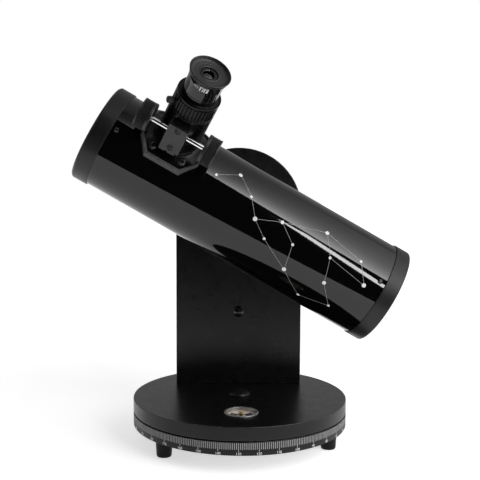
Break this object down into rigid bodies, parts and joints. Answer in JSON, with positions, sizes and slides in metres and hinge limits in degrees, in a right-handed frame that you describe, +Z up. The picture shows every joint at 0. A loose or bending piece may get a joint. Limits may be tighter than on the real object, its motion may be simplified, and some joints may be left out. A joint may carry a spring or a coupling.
{
  "type": "newtonian reflector telescope",
  "caption": "Tabletop Newtonian reflector: glossy tube with rack focuser and eyepiece, on a single-arm altazimuth base with degree scale, compass and three feet.",
  "frame": {"origin": "on the plane of the three feet, below the middle of the whole part; the vertical azimuth axis stands 7.5 mm from it, at +Y", "axes": "+Z up; -Y towards the side that the eyepiece and the open face of the upright look to; at rest the tube lies in the XZ plane with its open end towards -X and 29.77 degrees above level"},
  "size_m": [0.3587, 0.2495, 0.4068],
  "materials": {
    "black_laminate": "satin black laminated board",
    "scale_strip": "printed grey scale strip",
    "bearing_plastic": "smooth white bearing plastic",
    "foot_rubber": "moulded black rubber",
    "zinc_steel": "zinc-plated steel",
    "black_steel": "black oxide screws",
    "satin_black_plastic": "satin moulded black plastic",
    "focuser_plastic": "fine-textured moulded black plastic",
    "tube_gloss": null,
    "mirror_coat": "aluminised first-surface mirror",
    "chrome_plate": "bright chrome plate",
    "knob_plastic": "knurled black plastic",
    "eyepiece_gloss": "glossy dark grey eyepiece body",
    "eyecup_rubber": "soft matt rubber",
    "lens_glass": "coated optical glass",
    "compass_glass": "clear acrylic window",
    "compass_silver": "silvery moulded housing",
    "compass_card": "pale yellow printed card",
    "needle_paint": "red painted needle"
  },
  "bodies": {
    "ground_base": {"base_plate": "black_laminate", "azimuth_scale": "scale_strip", "azimuth_bearing": "bearing_plastic", "foot_1": "foot_rubber", "foot_2": "foot_rubber", "foot_3": "foot_rubber", "pivot_bolt": "zinc_steel", "pivot_washer": "zinc_steel", "pivot_nut": "zinc_steel"},
    "turntable": {"turntable_board": "black_laminate", "upright_board": "black_laminate", "board_bolt": "black_steel", "board_bolt_nut": "zinc_steel", "pivot_cap": "satin_black_plastic", "compass_housing": "compass_silver", "compass_dial": "compass_card", "compass_window": "compass_glass", "altitude_washer": "bearing_plastic", "knob_washer": "zinc_steel"},
    "compass_needle": {"compass_needle": "needle_paint"},
    "tube": {"tube_shell": "tube_gloss", "front_ring": "satin_black_plastic", "rear_cap": "satin_black_plastic", "spider": "satin_black_plastic", "front_tube_screw_1": "zinc_steel", "front_tube_screw_2": "zinc_steel", "front_tube_screw_3": "zinc_steel", "rear_tube_screw_1": "black_steel", "rear_tube_screw_2": "black_steel", "rear_tube_screw_3": "black_steel", "secondary_holder": "satin_black_plastic", "secondary_mirror": "mirror_coat", "mirror_cell": "satin_black_plastic", "primary_mirror": "mirror_coat", "mirror_retainer": "satin_black_plastic", "altitude_saddle": "satin_black_plastic", "altitude_bolt": "zinc_steel", "focuser_housing": "focuser_plastic", "focuser_screw_1": "black_steel", "focuser_screw_2": "black_steel", "focuser_screw_3": "black_steel", "focuser_screw_4": "black_steel", "pinion_cover": "focuser_plastic", "cover_screw_1": "black_steel", "cover_screw_2": "black_steel"},
    "altitude_knob": {"altitude_knob": "satin_black_plastic"},
    "collimation_screw_1": {"collimation_screw_1": "zinc_steel"},
    "collimation_screw_2": {"collimation_screw_2": "zinc_steel"},
    "collimation_screw_3": {"collimation_screw_3": "zinc_steel"},
    "focus_pinion": {"pinion_shaft": "chrome_plate", "focus_knob_front": "knob_plastic", "focus_knob_rear": "knob_plastic"},
    "drawtube": {"drawtube": "focuser_plastic", "eyepiece_collar": "focuser_plastic"},
    "eyepiece_thumbscrew": {"eyepiece_thumbscrew": "satin_black_plastic"},
    "eyepiece": {"eyepiece_barrel": "chrome_plate", "eyepiece_body": "eyepiece_gloss", "eyecup": "eyecup_rubber", "field_lens": "lens_glass", "eye_lens": "lens_glass"}
  },
  "joints": [
    {"name": "azimuth", "type": "hinge", "parent": "ground_base", "child": "turntable", "pos_m": [0, 0.0075, 0.0339], "axis": [0, 0, 1], "continuous": true},
    {"name": "altitude", "type": "hinge", "parent": "turntable", "child": "tube", "pos_m": [0, -0.0096, 0.2496], "axis": [0, 1, 0], "range_deg": [-30, 60]},
    {"name": "altitude_knob_turn", "type": "hinge", "parent": "tube", "child": "altitude_knob", "pos_m": [0, 0.0708, 0.2496], "axis": [0, 1, 0], "range_deg": [0, 360]},
    {"name": "focus_turn", "type": "hinge", "parent": "tube", "child": "focus_pinion", "pos_m": [-0.06413, -0.07889, 0.33372], "axis": [0.868, 0, -0.4965], "range_deg": [0, 420.5]},
    {"name": "drawtube_slide", "type": "slide", "parent": "tube", "child": "drawtube", "axis": [0.3627, -0.6829, 0.6341], "range_m": [0, 0.022]},
    {"name": "eyepiece_slide", "type": "slide", "parent": "drawtube", "child": "eyepiece", "axis": [0.3627, -0.6829, 0.6341], "range_m": [0, 0.03]},
    {"name": "thumbscrew_turn", "type": "hinge", "parent": "drawtube", "child": "eyepiece_thumbscrew", "pos_m": [-0.07059, -0.09388, 0.36559], "axis": [-0.8928, -0.4498, 0.0263], "range_deg": [0, 360]},
    {"name": "needle_swing", "type": "hinge", "parent": "turntable", "child": "compass_needle", "pos_m": [0, -0.0609, 0.0465], "axis": [0, 0, 1], "continuous": true},
    {"name": "collimation_turn_1", "type": "hinge", "parent": "tube", "child": "collimation_screw_1", "pos_m": [0.15164, -0.0426, 0.16286], "axis": [0.868, 0, -0.4965], "range_deg": [-180, 180]},
    {"name": "collimation_turn_2", "type": "hinge", "parent": "tube", "child": "collimation_screw_2", "pos_m": [0.13745, 0.0069, 0.13805], "axis": [0.868, 0, -0.4965], "range_deg": [-180, 180]},
    {"name": "collimation_turn_3", "type": "hinge", "parent": "tube", "child": "collimation_screw_3", "pos_m": [0.16583, 0.0069, 0.18766], "axis": [0.868, 0, -0.4965], "range_deg": [-180, 180]}
  ],
  "couplings": [
    {"joint": "focus_turn", "follows": "drawtube_slide", "rad_per_m": 333.33}
  ]
}
